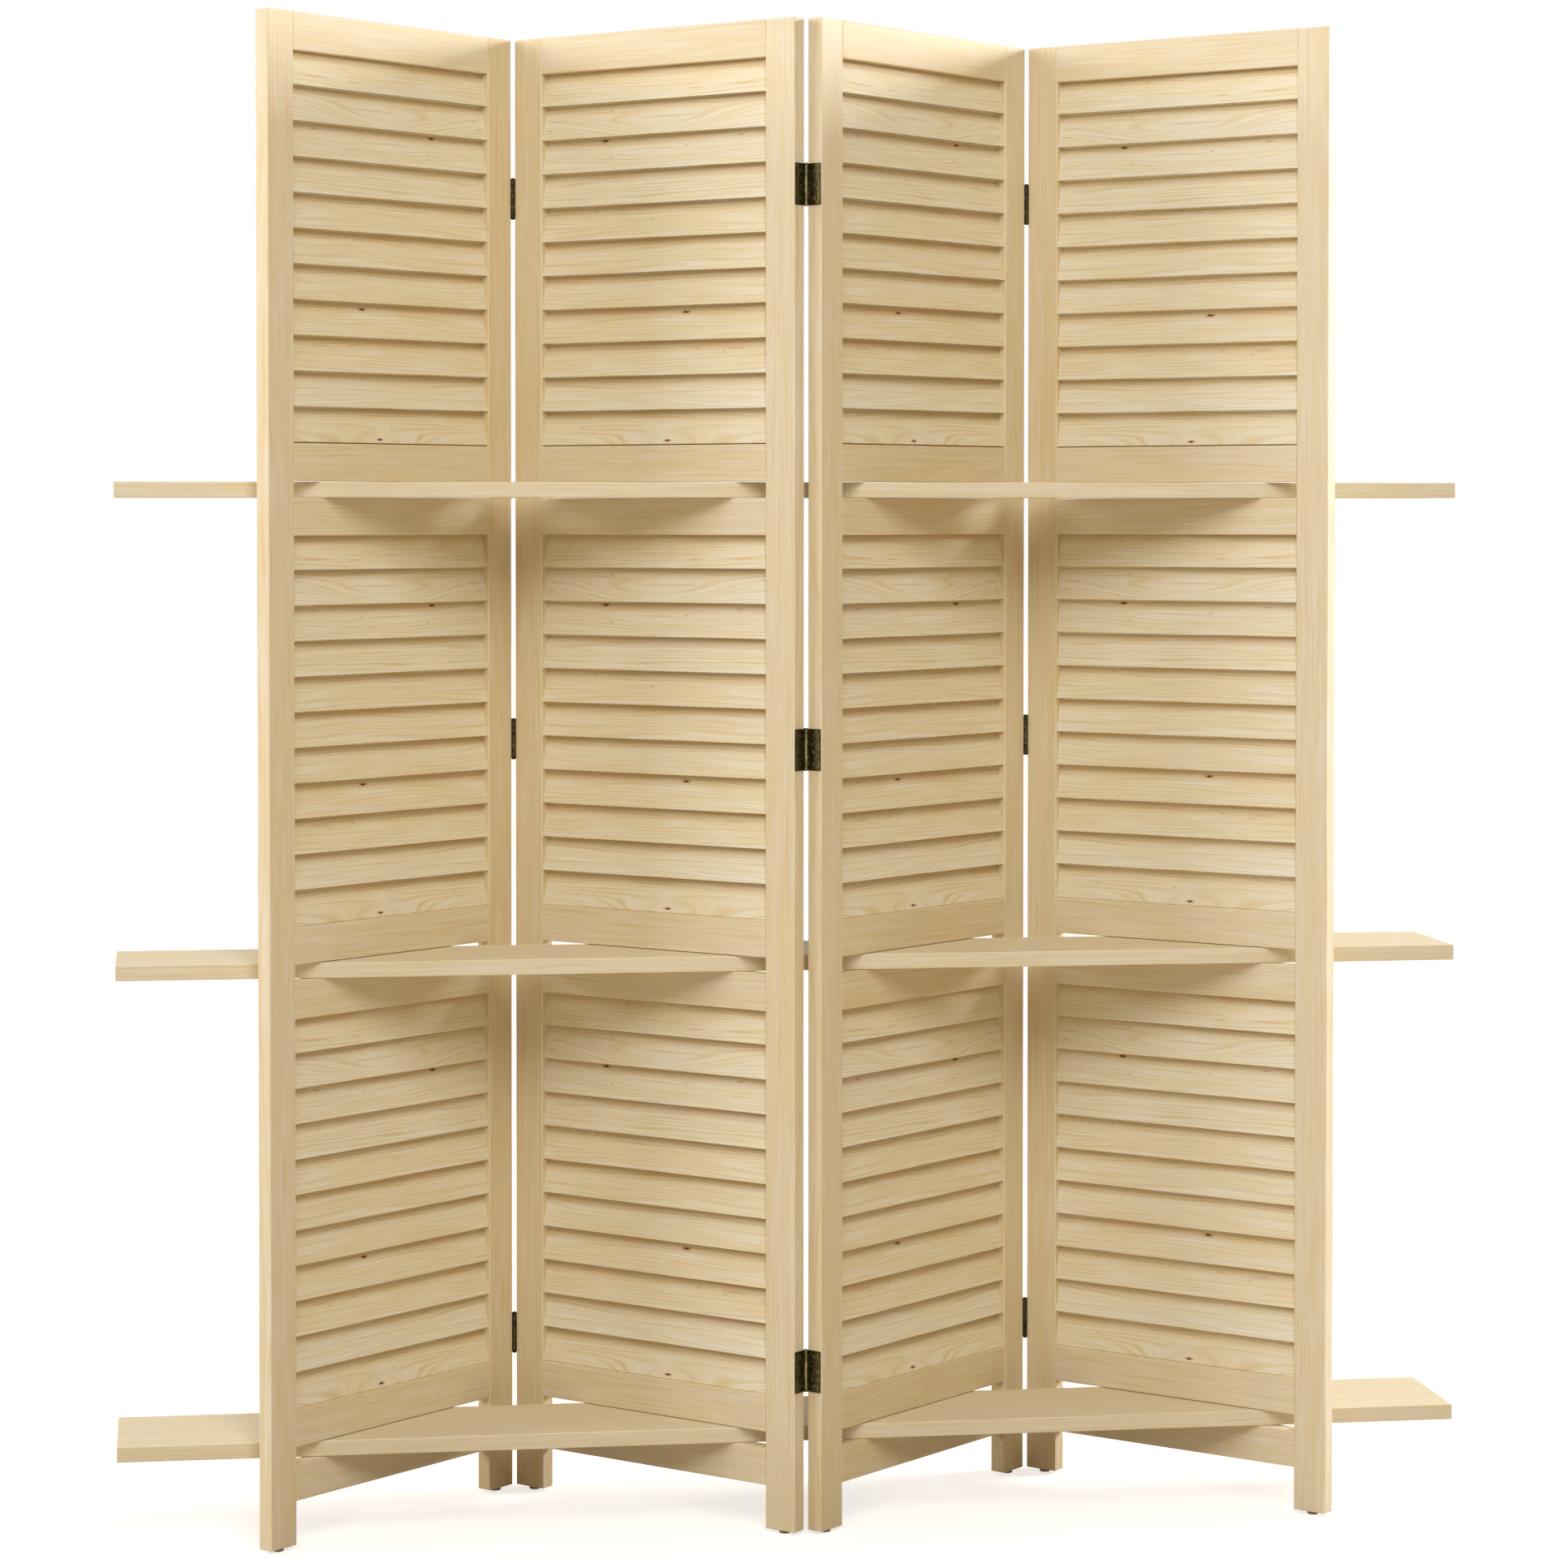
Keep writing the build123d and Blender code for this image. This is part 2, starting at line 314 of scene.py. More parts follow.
@dataclass(frozen=True)
class PineFinish:
    """Bare sanded pine whose grain follows the board coordinates of each piece."""

    name: str
    plank: Plank = Plank()
    early: Colour = (0.755, 0.65, 0.46)
    pale: Colour = (0.785, 0.70, 0.555)
    warm: Colour = (0.735, 0.60, 0.375)
    late: Colour = (0.665, 0.495, 0.205)
    fleck: Colour = (0.58, 0.28, 0.11)
    heart: Colour = (0.045, 0.014, 0.006)
    sawn: Colour = (0.78, 0.70, 0.58)
    # painted shade under each slat's lip: its tint, and the share of the slat pitch that it spans
    painted_groove_shade: Colour = (0.85, 0.75, 0.62)
    painted_groove_shade_span: tuple[float, float] = (0.60, 0.94)
    dark_cut: Colour = (0.96, 0.92, 0.83)
    light_cut: Colour = (1.04, 1.08, 1.17)
    groove_pitch: float = 0.0
    ring_width: float = 3.9
    ring_strength: float = 0.52
    ring_drift: float = 24.0
    ring_line: float = 0.85
    wander: float = 16.0
    ripple_depth: float = 1.5
    ring_slope: float = 0.4
    streak_strength: float = 0.42
    fleck_strength: float = 0.7
    halo_strength: float = 0.75
    fibre_shade: float = 0.13
    # painted highlight: how much lighter the eased arrises are made, standing in for the light they
    # catch
    painted_arris_highlight: float = 0.10
    roughness: float = 0.5
    specular: float = 0.35
    swirl: GrainNoise = GrainNoise((330.0, 62.0, 62.0), 2.0)
    ripple: GrainNoise = GrainNoise((34.0, 9.0, 9.0))
    drift: GrainNoise = GrainNoise((300.0, 13.0, 50.0))
    hair: GrainNoise = GrainNoise((260.0, 1.5, 50.0), 2.0, 0.6, (0.50, 0.68), 0.55)
    fade: GrainNoise = GrainNoise((85.0, 6.0, 20.0), span=(0.22, 0.60))
    broad: GrainNoise = GrainNoise((560.0, 21.0, 50.0), span=(0.38, 0.70), amount=0.55)
    cloud: GrainNoise = GrainNoise((95.0, 10.0, 20.0), span=(0.42, 0.72), amount=0.65)
    pore: GrainNoise = GrainNoise((5.0, 1 / 0.9, 1 / 0.9), 0.0, span=(0.74, 0.84), amount=0.35)
    fibre: GrainNoise = GrainNoise((14.0, 1 / 1.9, 1 / 1.9), 2.0, 0.6)

    def make(self) -> Material:
        """Builds the material.

        Returns:
            Material that reads the attributes board, arris, sawn_end and tone.
        """
        material, graph = new_material(self.name)
        board = graph.attribute("board", "Vector")
        face = Spot(*graph.split(board))
        rings = face._replace(across=self.ring_place(face))
        latewood = self.latewood(rings)
        fibre = self.fibre.at(face)
        bands = sum(band.warmth(face.across) for band in self.plank.bands)
        colour = graph.mix((self.broad.mask(rings) + bands).clamped(), self.early, self.warm)
        colour = graph.mix(self.cloud.mask(rings), colour, self.pale)
        colour = graph.mix(latewood * self.ring_strength, colour, self.late)
        colour = graph.mix(self.pore.mask(rings), colour, self.late)
        colour = self.stain(board, face, colour)
        # painted shade under the lips of the slats
        colour = self.shade_groove(face.across, colour)
        tint = graph.mix(graph.attribute("tone") * 0.5 + 0.5, self.dark_cut, self.light_cut)
        colour = graph.vector("MULTIPLY", colour, tint)
        # fibre tone of the grain, plus a painted highlight along the eased arrises
        shade = (fibre - 0.5) * self.fibre_shade + graph.attribute("arris") * self.painted_arris_highlight
        colour = graph.vector("MULTIPLY", colour, shade + 1.0)
        end = graph.attribute("sawn_end")
        sawn = graph.vector("MULTIPLY", colour, self.sawn)
        colour = graph.mix(end * (0.55 + latewood * 0.25), colour, sawn)
        bump = graph.bump(0.3, 0.0001, fibre * 0.6 - latewood * 0.4)
        rough = self.roughness + fibre * 0.12 - latewood * 0.06
        graph.surface(colour, rough, bump, {"Specular IOR Level": self.specular})
        return material

    def shade_groove(self, across: Signal, colour: Signal) -> Signal:
        """Paints shade, brown and darker, onto each slat under the lip of the slat above it.

        Args:
            across: Millimetres across the board's face.
            colour: Colour of the wood.

        Returns:
            Colour with the painted shade under each lip.
        """
        if not self.groove_pitch:
            return colour
        graph = across.graph
        # painted shade: the top of each slat, under the lip above, is darkened and browned as
        # though it lay in that lip's shadow
        rise = graph.maths("FLOORED_MODULO", across, self.groove_pitch)
        deep = rise.step(*(share * self.groove_pitch for share in self.painted_groove_shade_span))
        return graph.mix(deep, colour, graph.vector("MULTIPLY", colour, self.painted_groove_shade))

    def latewood(self, rings: Spot) -> Signal:
        """Thin darker lines of latewood, which fade in and out along the grain.

        Args:
            rings: Place on the board, measured across the growth rings.

        Returns:
            Strength of the latewood from 0 to 1.
        """
        drift = self.drift.at(rings)
        turn = rings.across * (math.tau / self.ring_width) + drift * self.ring_drift
        wave = turn.graph.maths("SINE", turn) * 0.5 + 0.5
        line = wave * wave * wave * self.ring_line
        return (line + self.hair.mask(rings)) * self.fade.mask(rings)

    def ring_place(self, face: Spot) -> Signal:
        """Distance across the growth rings, which wander and close in the flames.

        Args:
            face: Place on the board.

        Returns:
            The place across the rings in millimetres.
        """
        swirl = self.swirl.at(face)
        place = face.across + face.deep * self.ring_slope + (swirl - 0.5) * self.wander
        ripple = self.ripple.at(face)
        place = place + (ripple - 0.5) * self.ripple_depth
        for flame in self.plank.flames:
            side = face.across - flame.across
            run = (face.along - flame.along) * (1 / flame.length)
            rise = side * (1 / flame.height)
            pull = side.graph.maths("EXPONENT", (run * run + rise * rise) * -1.0)
            place = place - side * pull * flame.pull + pull * (flame.pull * flame.height)
        return place

    def stain(self, board: Signal, face: Spot, colour: Signal) -> Signal:
        """Adds the knots, flecks and resin streaks of the plank.

        Args:
            board: Board coordinates.
            face: The same coordinates, split up.
            colour: Colour of the clear wood.

        Returns:
            Colour of the wood with its marks.
        """
        if not self.plank.knots:
            return colour
        graph = board.graph
        uneven = graph.noise(graph.join(face.along * 0.4, face.across * 0.9, 0.0), 1.0)
        ragged = (uneven - 0.5) * 1.1

        def nearest(marks: Sequence[Knot]) -> Signal:
            """Ragged distance from the nearest of several marks."""
            return lowest(mark.distance(board) for mark in marks) + ragged

        streak = nearest(self.plank.streaks).step(1.2, 0.2)
        colour = graph.mix(streak * self.streak_strength, colour, self.fleck)
        knot = nearest(self.plank.knots)
        fleck = nearest(self.plank.flecks).step(1.4, 0.3) * self.fleck_strength
        halo = graph.maths("MAXIMUM", knot.step(2.6, 0.9) * self.halo_strength, fleck)
        colour = graph.mix(halo, colour, self.fleck)
        return graph.mix(knot.step(1.15, 0.6), colour, self.heart)


@dataclass(frozen=True)
class HingeHighlightsAndRims:
    """Places on the hinges, in millimetres, for painted highlights and for the darkened rims."""

    lines: tuple[tuple[float, float], ...]
    heights: tuple[float, ...]
    screw_offsets: tuple[float, ...] = (-15.81, -2.33, 15.81)
    screw_reach: float = 11.25
    screw_ring: tuple[float, float] = (4.2, 2.8)
    knuckle: float = 2.2
    knuckle_out: tuple[float, float] = (0.35, 0.95)
    knuckle_end: tuple[float, float] = (1.3, 1.05)
    middle_knuckle: tuple[float, float] = (9.6, 8.8)
    leaf_reach: float = 20.0
    leaf_half_height: float = 23.25
    end_rim: float = 2.2
    foot_rim: float = 2.4
    # painted reflection across the leaves: where it starts and where it is full
    painted_sheen_reach: tuple[float, float] = (9.0, 17.0)

    def from_pin(self, graph: Graph, place: Signal) -> Signal:
        """Distance from the nearest pin line."""
        level = graph.vector("MULTIPLY", place, (1.0, 1.0, 0.0))
        return lowest(
            graph.vector("DISTANCE", level, (x, y, 0.0), output="Value") for x, y in self.lines
        )

    def from_heights(self, height: Signal, offsets: Sequence[float]) -> Signal:
        """Distance up or down to the nearest of the offsets from each hinge's middle."""
        marks = [middle + offset for middle in self.heights for offset in offsets]
        return lowest(abs(height - mark) for mark in marks)

    def ridge(self, across: Signal, reach: Signal) -> Signal:
        """Outer ridge of the knuckles, where a highlight is painted.

        Args:
            across: Distance from the middle of the screen in its depth.
            reach: Distance from the nearest pin line.

        Returns:
            1 along the middle of the ridge and 0 off it.
        """
        out = abs(across) - abs(self.lines[0][1])
        outer = out.step(*(share * self.knuckle for share in self.knuckle_out))
        return outer * reach.step(*(share * self.knuckle for share in self.knuckle_end))

    def rim(self, height: Signal, reach: Signal) -> Signal:
        """Edges of the leaves and rings round the screws, which are darkened.

        Args:
            height: Height in millimetres.
            reach: Distance from the nearest pin line.

        Returns:
            1 where they are darkened.
        """
        middle = self.from_heights(height, (0.0,))
        foot = middle.step(self.leaf_half_height - self.foot_rim, self.leaf_half_height)
        end = reach.step(self.leaf_reach - self.end_rim, self.leaf_reach)
        rise = self.from_heights(height, self.screw_offsets)
        run = reach - self.screw_reach
        graph = reach.graph
        ring = graph.maths("SQRT", run * run + rise * rise).step(*self.screw_ring)
        return graph.maths("MAXIMUM", graph.maths("MAXIMUM", foot, end), ring)


@dataclass(frozen=True)
class BrassFinish:
    """Dark antique brass plating, mottled, with painted highlights on the hinges where their places
    are given.
    """

    name: str
    highlights_and_rims: HingeHighlightsAndRims | None = None
    dark: Colour = (0.010, 0.007, 0.004)
    mid: Colour = (0.050, 0.040, 0.009)
    # lighter mottle of the plating, also the colour of the painted reflection across the leaves
    light: Colour = (0.21, 0.18, 0.065)
    rust: Colour = (0.13, 0.062, 0.014)
    # painted highlight along the outer ridge of the knuckles
    painted_highlight: Colour = (0.31, 0.27, 0.105)
    scale: float = 260.0
    gloss: float = 0.30
    metallic: float = 0.85

    def make(self) -> Material:
        """Builds the material.

        Returns:
            The material.
        """
        material, graph = new_material(self.name)
        place = graph.node("TexCoord", {}, {}, "Object")
        cloud = graph.noise(graph.scaled(place, self.scale), 4.0, 0.62)
        stain = graph.noise(graph.scaled(place, self.scale * 0.7), 2.0)
        grit = graph.noise(graph.scaled(place, self.scale * 5), 2.0)
        colour = graph.mix(cloud.step(0.36, 0.60), self.dark, self.mid)
        colour = graph.mix(stain.step(0.52, 0.66) * 0.6, colour, self.rust)
        colour = graph.mix(cloud.step(0.54, 0.74) * grit.step(0.25, 0.7), colour, self.light)
        rough = self.gloss + cloud * 0.3
        if self.highlights_and_rims:
            spot = graph.scaled(place, 1 / MM)
            _, across, height = graph.split(spot)
            reach = self.highlights_and_rims.from_pin(graph, spot)
            # painted reflection: the leaves lighten towards their far edges, as though catching the
            # light
            painted_sheen = reach.step(*self.highlights_and_rims.painted_sheen_reach) * stain.step(0.66, 0.40)
            colour = graph.mix(painted_sheen * 0.6, colour, self.light)
            colour = graph.mix(self.highlights_and_rims.rim(height, reach) * 0.85, colour, self.dark)
            # painted highlight along the knuckles' outer ridge, strongest on the middle knuckle
            middle = self.highlights_and_rims.from_heights(height, (0.0,)).step(*self.highlights_and_rims.middle_knuckle)
            highlight_amount = middle * 0.4 + cloud.step(0.4, 0.6) * 0.25 + 0.3
            ridge = self.highlights_and_rims.ridge(across, reach) * highlight_amount
            colour = graph.mix(ridge, colour, self.painted_highlight)
            rough = rough - ridge * 0.12
        bump = graph.bump(0.3, 0.0002, cloud + grit * 0.4)
        graph.surface(colour, rough, bump, {"Metallic": self.metallic})
        return material


@dataclass(frozen=True)
class GlideFinish:
    """Brown moulded plastic with a scuffed rim."""

    name: str
    colour: Colour = (0.30, 0.19, 0.11)
    scuffed: Colour = (0.39, 0.26, 0.16)
    scale: float = 900.0
    roughness: float = 0.45

    def make(self) -> Material:
        """Builds the material.

        Returns:
            The material.
        """
        material, graph = new_material(self.name)
        place = graph.node("TexCoord", {}, {}, "Object")
        grain = graph.noise(graph.scaled(place, self.scale), 3.0)
        colour = graph.mix(grain, self.colour, self.scuffed)
        bump = graph.bump(0.2, 0.0001, grain)
        graph.surface(colour, self.roughness + grain * 0.2, bump, {})
        return material


@dataclass(frozen=True)
class ScreenSizes:
    """Sizes of the screen in millimetres, as in the construction model."""

    panel_count: int = 4
    panel_width: float = 400.0
    panel_thickness: float = 19.0
    stile_height: float = 1696.0
    stile_width: float = 40.0
    stile_radius: float = 1.2
    fold_angle: float = 43.7
    rail_height: float = 41.9
    rail_radius: float = 0.8
    slot_height: float = 18.5
    foot_height: float = 48.7
    glide_height: float = 4.0
    slat_count: int = 11
    slat_width: float = 48.0
    slat_thickness: float = 5.5
    slat_lean: float = 14.0
    slat_setback: float = 1.5
    slat_radius: float = 0.35
    slat_relief: float = 3.0
    slat_gap: float = 0.2
    slat_shut_gap: float = 0.02
    slat_entry: float = 0.6
    axis_end_gap: float = 1.2
    axis_face_gap: float = 1.7
    shelf_length: float = 1533.0
    shelf_depth: float = 153.0
    shelf_thickness: float = 17.5
    shelf_radius: float = 1.0
    shelf_seat_gap: float = 0.3
    shelf_folded_clearance: float = 1.8
    hinge_drops: tuple[float, float] = (185.0, 817.0)
    hinge_rise: float = 180.0

    @property
    def fold(self) -> float:
        """Angle between a panel and the shelves, in radians."""
        return math.radians(self.fold_angle)

    @property
    def span(self) -> float:
        """Distance between a panel's hinge lines along the panel."""
        return self.panel_width + 2 * self.axis_end_gap

    @property
    def offset(self) -> float:
        """Distance between a panel's hinge lines through the panel."""
        return self.panel_thickness + 2 * self.axis_face_gap

    @property
    def pitch(self) -> float:
        """Distance between neighbouring hinge lines along the shelves."""
        return self.span * math.cos(self.fold) + self.offset * math.sin(self.fold)

    @property
    def depth(self) -> float:
        """Distance between the front and the rear hinge lines."""
        return self.span * math.sin(self.fold) - self.offset * math.cos(self.fold)

    @property
    def stile_top(self) -> float:
        """Height of the top of the stiles."""
        return self.glide_height + self.stile_height

    def hinge_highlights_and_rims(self) -> HingeHighlightsAndRims:
        """Places for painted highlights and darkened rims round every pin line and at every hinge
        height.

        Returns:
            The marks.
        """
        lines = tuple(((k - 1) * self.pitch, (0.5, -0.5)[k % 2] * self.depth) for k in range(3))
        tops = tuple(self.stile_top - drop for drop in self.hinge_drops)
        return HingeHighlightsAndRims(lines, (*tops, self.glide_height + self.hinge_rise))

    @property
    def bay_height(self) -> float:
        """Height of a louvre section with the two rails and the slot below it."""
        return (self.stile_height - self.rail_height - self.foot_height) / len(BAYS)

    @property
    def louvre_height(self) -> float:
        """Height of a louvre section."""
        return self.bay_height - 2 * self.rail_height - self.slot_height

    @property
    def inner_width(self) -> float:
        """Distance between the stiles."""
        return self.panel_width - 2 * self.stile_width

    @property
    def slat_pitch(self) -> float:
        """Distance between the lips of neighbouring slats."""
        return self.louvre_height / self.slat_count

    @property
    def lean(self) -> float:
        """Angle between a slat and the upright, in radians."""
        return math.radians(self.slat_lean)

    @property
    def slat_lift(self) -> float:
        """Height of the lip of the lowest slat over the rail."""
        return self.slat_thickness * math.sin(self.lean) + self.slat_gap

    @property
    def top_slat_width(self) -> float:
        """Width of the uppermost slat, which ends under the rail."""
        return (self.slat_pitch - self.slat_lift - self.slat_shut_gap) / math.cos(self.lean)

    def slat_foot(self, bay: int, number: int) -> tuple[float, float]:
        """How the lower edge of a slat is cut.

        The lowest slat rests on its rear edge in the top section and is cut level in the others.

        Args:
            bay: Number of the section from the top.
            number: Number of the slat from below.

        Returns:
            How far the rear edge is cut up, and how far the slat is lowered.
        """
        if number:
            return self.slat_relief, 0.0
        if bay:
            level = self.slat_thickness * math.tan(self.lean)
            return level, self.slat_lift - self.slat_shut_gap
        return self.slat_shut_gap - self.slat_gap, 0.0

    def section_base(self, bay: int) -> float:
        """Height of the foot of a louvre section."""
        return self.stile_top - self.rail_height - bay * self.bay_height - self.louvre_height

    def slot_rail_bases(self, bay: int) -> tuple[float, float]:
        """Heights of the undersides of the rails above and below a slot."""
        upper = self.section_base(bay) - self.rail_height
        return upper, upper - self.slot_height - self.rail_height

    def panel_place(self, index: int) -> Matrix:
        """Place of a panel's lower front left corner.

        Args:
            index: Number of the panel from the left, from 0.

        Returns:
            Matrix from the panel's millimetres to the row frame's millimetres.
        """
        side = -1 if index % 2 == 0 else 1
        line_x = (index - self.panel_count / 2) * self.pitch
        line = Matrix.Translation((line_x, side * self.depth / 2, 0))
        corner_y = self.axis_face_gap if side > 0 else -(self.panel_thickness + self.axis_face_gap)
        turn = Matrix.Rotation(-side * self.fold, 4, "Z")
        return line @ turn @ Matrix.Translation((self.axis_end_gap, corner_y, 0))


@dataclass(frozen=True)
class Bar:
    """Sawn bar with eased arrises: X along the grain, Y through it, Z across its face."""

    length: float
    thickness: float
    width: float
    radius: float
    relief: float = 0.0
    bow: float = 0.0
    seed: int = 0
    steps: int = 8
    arc: int = 4

    END_RINGS = ((0.0, 0.35, 0.5), (0.12, 0.70, 1.0), (0.42, 0.94, 1.0), (1.0, 1.0, 0.0))
    LONG_STEPS = 24
    SUPPORT = 3.0
    WEAR = 0.10
    WAVES = (47.0, 17.0)

    def outline(self) -> tuple[np.ndarray, np.ndarray, np.ndarray]:
        """Section as points of an inner rectangle and the ways they move out.

        Returns:
            Base points, directions and arris weights, one row for each section point.
        """
        r = self.radius
        inner = (self.thickness - 2 * r, self.width - 2 * r)
        corners = ((inner[0], self.relief), (inner[0], inner[1]), (0.0, inner[1]), (0.0, 0.0))
        base, way, arris = [], [], []
        for number, corner in enumerate(corners):
            start = -math.pi / 2 + number * math.pi / 2
            for step in range(self.arc + 1):
                angle = start + step / self.arc * math.pi / 2
                base.append(corner)
                way.append((math.cos(angle), math.sin(angle)))
                arris.append(0.0 if step in (0, self.arc) else 1.0)
            following = corners[(number + 1) % len(corners)]
            side = math.dist(corner, following)
            soft = min(self.SUPPORT, side / 3)
            for share in (soft / side, 1 - soft / side):
                base.append(tuple(a + (b - a) * share for a, b in zip(corner, following)))
                way.append((math.cos(start + math.pi / 2), math.sin(start + math.pi / 2)))
                arris.append(0.0)
        return np.array(base), np.array(way), np.array(arris)

    def rings(self) -> list[tuple[float, float, float]]:
        """Places of the sections along the bar.

        Returns:
            The place of each section, its share of the radius and its least arris weight.
        """
        start = [(self.radius * x, share, least) for x, share, least in self.END_RINGS]
        margin = self.radius + self.SUPPORT
        inner = np.linspace(margin, self.length - margin, self.steps)
        finish = [(self.length - x, share, least) for x, share, least in reversed(start)]
        return start + [(float(x), 1.0, 0.0) for x in inner] + finish

    def build(self) -> tuple[np.ndarray, list[tuple[int, ...]], np.ndarray, list[int]]:
        """Mesh of the bar.

        Returns:
            Points, faces, the arris weight of each point and the numbers of the sawn end faces.
        """
        rng = np.random.default_rng(self.seed)
        base, way, arris = self.outline()
        phases = rng.uniform(0, math.tau, (len(base), len(self.WAVES)))
        points, weights = [], []
        for x, share, least in self.rings():
            wave = np.sin(x / np.array(self.WAVES) + phases).sum(axis=1)
            reach = self.radius * share - arris * self.WEAR * (1 + 0.5 * wave) * share
            ring = base + way * reach[:, None] + self.radius
            sag = self.bow * math.sin(math.pi * x / self.length)
            points.append(np.column_stack((np.full(len(ring), x), ring[:, 0] + sag, ring[:, 1])))
            weights.append(np.maximum(arris, least))
        count = len(base)
        faces = []
        for ring in range(len(points) - 1):
            low, high = ring * count, (ring + 1) * count
            for k in range(count):
                after = (k + 1) % count
                faces.append((low + k, low + after, high + after, high + k))
        first = tuple(reversed(range(count)))
        last = tuple((len(points) - 1) * count + k for k in range(count))
        ends = [len(faces), len(faces) + 1]
        faces += [first, last]
        return np.vstack(points), faces, np.concatenate(weights), ends


@dataclass
class Stock:
    """Gathers the bars of one piece and turns them into one mesh object."""

    name: str
    points: list[np.ndarray] = field(default_factory=list)
    faces: list[tuple[int, ...]] = field(default_factory=list)
    boards: list[np.ndarray] = field(default_factory=list)
    arrises: list[np.ndarray] = field(default_factory=list)
    ends: list[float] = field(default_factory=list)
    tones: list[float] = field(default_factory=list)
    count: int = 0

    def add(self, bar: Bar, place: Matrix, board: Matrix, tone: float) -> None:
        """Adds a bar.

        Args:
            bar: The bar.
            place: From the bar's millimetres to the row frame's millimetres.
            board: From the bar's millimetres to board coordinates along, across and deep.
            tone: Lighter or darker cut, from -1 to 1.
        """
        points, faces, arris, ends = bar.build()
        homogeneous = np.column_stack((points, np.ones(len(points))))
        self.points.append((homogeneous @ np.array(place).T)[:, :3] * MM)
        self.boards.append((homogeneous @ np.array(board).T)[:, :3])
        self.arrises.append(arris)
        self.faces += [tuple(v + self.count for v in face) for face in faces]
        self.ends += [float(number in ends) for number in range(len(faces))]
        self.tones += [tone] * len(faces)
        self.count += len(points)

    def make(self, material: Material) -> bpy.types.Object:
        """Builds the mesh object with its attributes.

        Args:
            material: Finish of the piece.

        Returns:
            The object.
        """
        mesh = bpy.data.meshes.new(self.name)
        mesh.from_pydata(np.vstack(self.points).tolist(), [], self.faces)
        layers = (
            ("board", "FLOAT_VECTOR", "POINT", "vector", np.vstack(self.boards)),
            ("arris", "FLOAT", "POINT", "value", np.concatenate(self.arrises)),
            ("sawn_end", "FLOAT", "FACE", "value", np.array(self.ends)),
            ("tone", "FLOAT", "FACE", "value", np.array(self.tones)),
        )
        for name, kind, domain, key, values in layers:
            layer = mesh.attributes.new(name, kind, domain)
            layer.data.foreach_set(key, values.astype(np.float32).ravel())
        mesh.polygons.foreach_set("use_smooth", [True] * len(mesh.polygons))
        mesh.materials.append(material)
        mesh.validate()
        made = add_object(self.name, mesh)
        normals = made.modifiers.new("face_normals", "WEIGHTED_NORMAL")
        normals.keep_sharp = True
        return made


def matrix(rows: Sequence[Sequence[float]]) -> Matrix:
    """4x4 matrix from three rows of four numbers."""
    return Matrix((*rows, (0.0, 0.0, 0.0, 1.0)))


class Grain(Enum):
    """Ways in which a piece lies in the board it was cut from."""

    PLAIN = 1
    MIRRORED = -1


@dataclass(frozen=True)
class Cuts:
    """How light the boards of one panel are, from -1 to 1."""

    left: float
    right: float
    rails: float
    slats: float


